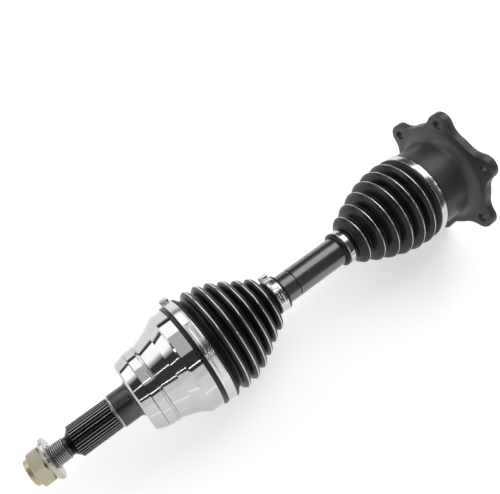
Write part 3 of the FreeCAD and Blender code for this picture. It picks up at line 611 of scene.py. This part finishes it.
outerStep = (outerBoot["lastCrest"] - outerBoot["firstCrest"]) / (outerBoot["folds"] - 1)
outerCuts = [outerBoot["firstCrest"] + outerStep * share for share in (1.5, 3.5, 4.5)]
makeBoot(
    "outer_boot_folds",
    outerBoot,
    [(283.2, 19.8, 0), (284.6, 20.6, 1.2), (287.2, 23.2, 1.5)],
    [(364.6, 54.4, 2.4), (369.2, 57.2, 1.6), (371.2, 60.0, 0)],
    outerCuts,
    "outer_boot",
)
innerStep = (innerBoot["lastCrest"] - innerBoot["firstCrest"]) / (innerBoot["folds"] - 1)
makeBoot(
    "inner_boot_folds",
    innerBoot,
    [(166.8, 19.8, 0), (166.2, 21.6, 0.8), (165.0, 23.2, 1.5)],
    [(74.0, 49.2, 2.4), (72.4, 51.0, 1.6), (70.8, 53.4, 0)],
    [innerBoot["firstCrest"] + innerStep * 3.5],
    "inner_boot",
)


def makeCollar(name, corners, body, node):
    line = softened([c[:2] for c in corners], [c[2] for c in corners])
    piece = lathed(name, line, "boot_rubber", 160, 50)
    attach(piece, body)
    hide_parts(node)
    return piece


outerSmallSeat = outerBoot["smallSeat"]
makeCollar(
    "outer_boot_small_collar",
    [
        (267.0, outerSmallSeat, 0.2),
        (267.0, 20.9, 0.9),
        (269.3, 20.9, 0.6),
        (269.5, 19.8, 0.2),
        (280.5, 19.8, 0.2),
        (280.9, 20.9, 0.7),
        (282.2, 20.9, 0.7),
        (283.2, 19.8, 0),
        (283.2, outerSmallSeat, 0),
    ],
    "shaft",
    "outer_boot",
)
makeCollar(
    "outer_boot_large_collar",
    [
        (371.2, outerBoot["bigSeat"], 0),
        (371.2, 60.0, 0),
        (372.6, 61.7, 0.9),
        (374.4, 61.7, 0.6),
        (374.8, 60.1, 0.2),
        (385.6, 60.1, 0.2),
        (386.0, 61.3, 0.6),
        (388.8, 61.3, 1.0),
        (389.8, 59.8, 0.8),
        (389.8, outerBoot["bigSeat"], 0.2),
    ],
    "wheel_end",
    "outer_boot",
)
makeCollar(
    "inner_boot_small_collar",
    [
        (166.8, innerBoot["smallSeat"], 0),
        (166.8, 19.8, 0),
        (168.4, 21.0, 0.9),
        (170.8, 21.0, 0.6),
        (171.2, 19.8, 0.2),
        (178.8, 19.8, 0.2),
        (179.2, 21.2, 0.6),
        (182.0, 21.2, 1.2),
        (183.0, 19.8, 1.0),
        (183.0, innerBoot["smallSeat"], 0.2),
    ],
    "shaft",
    "inner_boot",
)
makeCollar(
    "inner_boot_large_collar",
    [
        (56.0, innerBoot["bigSeat"], 0.2),
        (56.0, 53.0, 1.0),
        (57.2, 54.4, 0.8),
        (58.0, 54.4, 0.5),
        (58.3, 53.5, 0.2),
        (67.3, 53.5, 0.2),
        (67.7, 54.6, 0.6),
        (69.6, 54.6, 0.9),
        (70.8, 53.4, 0),
        (70.8, innerBoot["bigSeat"], 0),
    ],
    "inner_housing",
    "inner_boot",
)
print("boots folded")


# clamps
earTurn = 76.0  # ears and overlaps of the outer boot, from the top towards -Y


def earLine(radius, rise, span, lean=0.62):
    # omega ear at the top: feet on the band, pinched walls and a flat-topped loop
    half = span / 2
    leftSide = [(-half * 1.5, -0.25), (-half * lean, 0.3)]
    leftSide += [(-half * 0.8, rise * 0.55), (-half * 0.72, rise * 0.93)]
    spots = leftSide + [(0, rise)] + [(-y, z) for y, z in reversed(leftSide)]
    corners = [(y, math.sqrt(max(radius * radius - y * y, 0)) + z, 1.4) for y, z in spots]
    return roundedOpen(corners, 5)


def makeEarClamp(name, node, body, start, width, inside, rise, span, turn):
    band = [
        (start, inside),
        (start, inside + 1.1),
        (start + width * 0.3, inside + 1.1),
        (start + width * 0.36, inside + 0.8),
        (start + width * 0.64, inside + 0.8),
        (start + width * 0.7, inside + 1.1),
        (start + width, inside + 1.1),
        (start + width, inside),
    ]
    pieces = [lathed(name + "_band", softened(band, 0.25, 3), "band_steel", 192, 40)]
    tongue = [(start + 0.9, inside + 0.9), (start + 0.9, inside + 1.75)]
    tongue += [(start + width - 0.9, inside + 1.75), (start + width - 0.9, inside + 0.9)]
    pieces.append(lathed(name + "_tongue", softened(tongue, 0.25, 3), "band_steel", 40, 40, turn, 52))
    line = earLine(inside + 1.2, rise, span)
    ear = strip(name + "_ear", line, 1.0, start + 0.5, start + width - 0.5, "band_steel")
    pieces.append(ear)
    for piece in pieces:
        piece.data.transform(Matrix.Rotation(math.radians(earTurn), 4, "X"))
        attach(piece, body)
        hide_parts(node)
    return pieces


def makeLockClamp(name, node, body, start, width, inside, turns):
    band = [(start, inside), (start, inside + 1.0), (start + width, inside + 1.0), (start + width, inside)]
    pieces = [lathed(name + "_band", softened(band, 0.3, 3), "band_steel", 192, 40)]
    for k, (first, sweep, lift) in enumerate(turns):
        tongue = [(start + 0.5, inside + 0.8), (start + 0.5, inside + lift)]
        tongue += [(start + width - 0.5, inside + lift), (start + width - 0.5, inside + 0.8)]
        line = softened(tongue, 0.25, 3)
        pieces.append(lathed(f"{name}_lap_{k + 1}", line, "band_steel", 40, 40, first, sweep))
    for piece in pieces:
        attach(piece, body)
        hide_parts(node)
    return pieces


# node, body, start, width, inside radius, ear rise, ear span, first angle of the overlap
earClamps = {
    "bell_clamp": ("outer_large_clamp", "wheel_end", 375.0, 10.4, 60.2, 7.0, 9.0, 8.0),
    "bar_clamp": ("outer_small_clamp", "shaft", 269.7, 10.6, 19.9, 5.4, 8.0, 20.0),
}
# node, body, start, width, inside radius, overlaps as first angle, sweep and height
lockClamps = {
    "housing_clamp": ("inner_large_clamp", "inner_housing", 58.6, 8.4, 53.6, [(-14, 28, 1.8)]),
    "boot_end_clamp": ("inner_small_clamp", "shaft", 171.5, 7.0, 19.9, [(-30, 70, 1.7), (54, 40, 1.7)]),
}
for name, sizes in earClamps.items():
    makeEarClamp(name, *sizes)
for name, sizes in lockClamps.items():
    makeLockClamp(name, *sizes)
print("clamps closed")

# room: pale floor under the lobes and the bell clamp, soft boxes and two thin hoops of light
room = {
    "floorLow": -76.6,
    "floorRise": 2.25,
    "floorGlow": 0.42,
    "skyGlow": 0.06,
}
floorSockets = {"Roughness": 0.6, "Specular IOR Level": 0.2, "Emission Color": (1, 1, 1, 1)}
floorFinish = Finish("paleFloor", floorSockets)
floorFinish.shader.inputs["Emission Strength"].default_value = room["floorGlow"]
floorPattern = floorFinish.span(floorFinish.noise(3, 2), 0.3, 0.7)
floorFinish.feed("Base Color", floorFinish.tint(floorPattern, (0.90, 0.90, 0.90), (0.93, 0.93, 0.93)))
floorMesh = bpy.data.meshes.new("floor")
slope = math.tan(math.radians(room["floorRise"]))
floorSpots = [(x, y, room["floorLow"] * mm + x * slope) for x, y in ((-3, -3), (4, -3), (4, 3), (-3, 3))]
floorMesh.from_pydata(floorSpots, [], [(0, 1, 2, 3)])
floorMesh.materials.append(floorFinish.material)
floor = bpy.data.objects.new("floor", floorMesh)
bpy.context.scene.collection.objects.link(floor)

sky = bpy.data.worlds.new("sky")
sky.use_nodes = True
sky.node_tree.nodes["Background"].inputs["Color"].default_value = (1, 1, 1, 1)
sky.node_tree.nodes["Background"].inputs["Strength"].default_value = room["skyGlow"]
bpy.context.scene.world = sky


def softBox(name, spot, target, width, height, glow, roll=0.0):
    # glow is the brightness of the panel's face, whatever its size
    lamp = bpy.data.lights.new(name, "AREA")
    lamp.shape = "RECTANGLE"
    lamp.size, lamp.size_y = width, height
    lamp.energy = glow * math.pi * width * height
    panel = bpy.data.objects.new(name, lamp)
    turn = (Vector(target) - Vector(spot)).to_track_quat("-Z", "Y").to_matrix().to_4x4()
    panel.matrix_world = Matrix.Translation(spot) @ turn @ Matrix.Rotation(roll, 4, "Z")
    bpy.context.scene.collection.objects.link(panel)
    return panel


def panelAcross(name, first, last, reach, start, end, glow):
    # a panel between two angles from straight up (towards +Y), running along the axle line
    spots = [Vector((0, math.sin(math.radians(a)), math.cos(math.radians(a)))) * reach for a in (first, last)]
    middle = (spots[0] + spots[1]) / 2
    middle.x = (start + end) / 2
    across = (spots[1] - spots[0]).normalized()
    side = Vector((1, 0, 0))
    normal = across.cross(side)
    if normal.dot(Vector((0, middle.y, middle.z))) < 0:
        normal = -normal
    lamp = bpy.data.lights.new(name, "AREA")
    lamp.shape = "RECTANGLE"
    lamp.size, lamp.size_y = end - start, (spots[1] - spots[0]).length
    lamp.energy = glow * math.pi * lamp.size * lamp.size_y
    panel = bpy.data.objects.new(name, lamp)
    turn = Matrix((side, normal.cross(side), normal)).transposed().to_4x4()
    panel.matrix_world = Matrix.Translation(middle) @ turn
    bpy.context.scene.collection.objects.link(panel)
    return panel


panelAcross("keyPanel", -80, -46, 1.3, 0.05, 3.6, 1.85)
for k, glow in enumerate((1.45, 1.0, 0.6, 0.3)):
    panelAcross(f"keyFade{k}", -46 + 4 * k, -42 + 4 * k, 1.3, 0.62, 3.6, glow)
panelAcross("fillPanelHigh", 36, 56, 1.3, 0.05, 3.6, 0.95)
panelAcross("fillPanelLow", 56, 94, 1.3, 0.05, 3.6, 1.1)
panelAcross("rimPanel", 82, 94, 1.3, -1.5, 0.05, 1.1)
panelAcross("topPanel", -46, 2, 1.3, 0.05, 0.60, 0.72)
panelAcross("barPanel", -48, -4, 1.3, -1.5, 0.05, 2.1)
panelAcross("lineHigh", -6.4, -5.4, 1.2, 0.5, 3.4, 6.0)
panelAcross("lineLow", 26.8, 27.8, 1.2, 0.0, 3.4, 6.0)
for label, station, reach, glow in (("hoopInboard", -0.9, 0.8, 4.0), ("hoopOutboard", 3.4, 0.9, 9.0)):
    for k, angle in enumerate((-72, -48, -24, 0, 24, 48)):
        away = Vector((0, math.sin(math.radians(angle)), math.cos(math.radians(angle))))
        softBox(f"{label}{k}", away * reach + Vector((station, 0, 0)), (0.25, 0, 0), 0.14, 0.34, glow)
print("room lit")

# camera
view = {
    "lens": 41.92,
    "sensor": 36,
    "shift": (0.00516, 0.0132),
    "spot": (0.45631, 0.12817, 0.61572),
    "target": (0.26854, -0.05887, 0.0),
    "roll": 8.01,
}
camera = bpy.data.cameras.new("camera")
camera.lens = view["lens"]
camera.sensor_width = view["sensor"]
camera.shift_x, camera.shift_y = view["shift"]
cameraSpot, cameraTarget = Vector(view["spot"]), Vector(view["target"])
viewer = bpy.data.objects.new("camera", camera)
levelTurn = (cameraTarget - cameraSpot).to_track_quat("-Z", "Y").to_matrix().to_4x4()
roll = Matrix.Rotation(math.radians(view["roll"]), 4, "Z")
viewer.matrix_world = Matrix.Translation(cameraSpot) @ levelTurn @ roll
bpy.context.scene.collection.objects.link(viewer)
bpy.context.scene.camera = viewer
bpy.context.scene.view_settings.view_transform = "Standard"
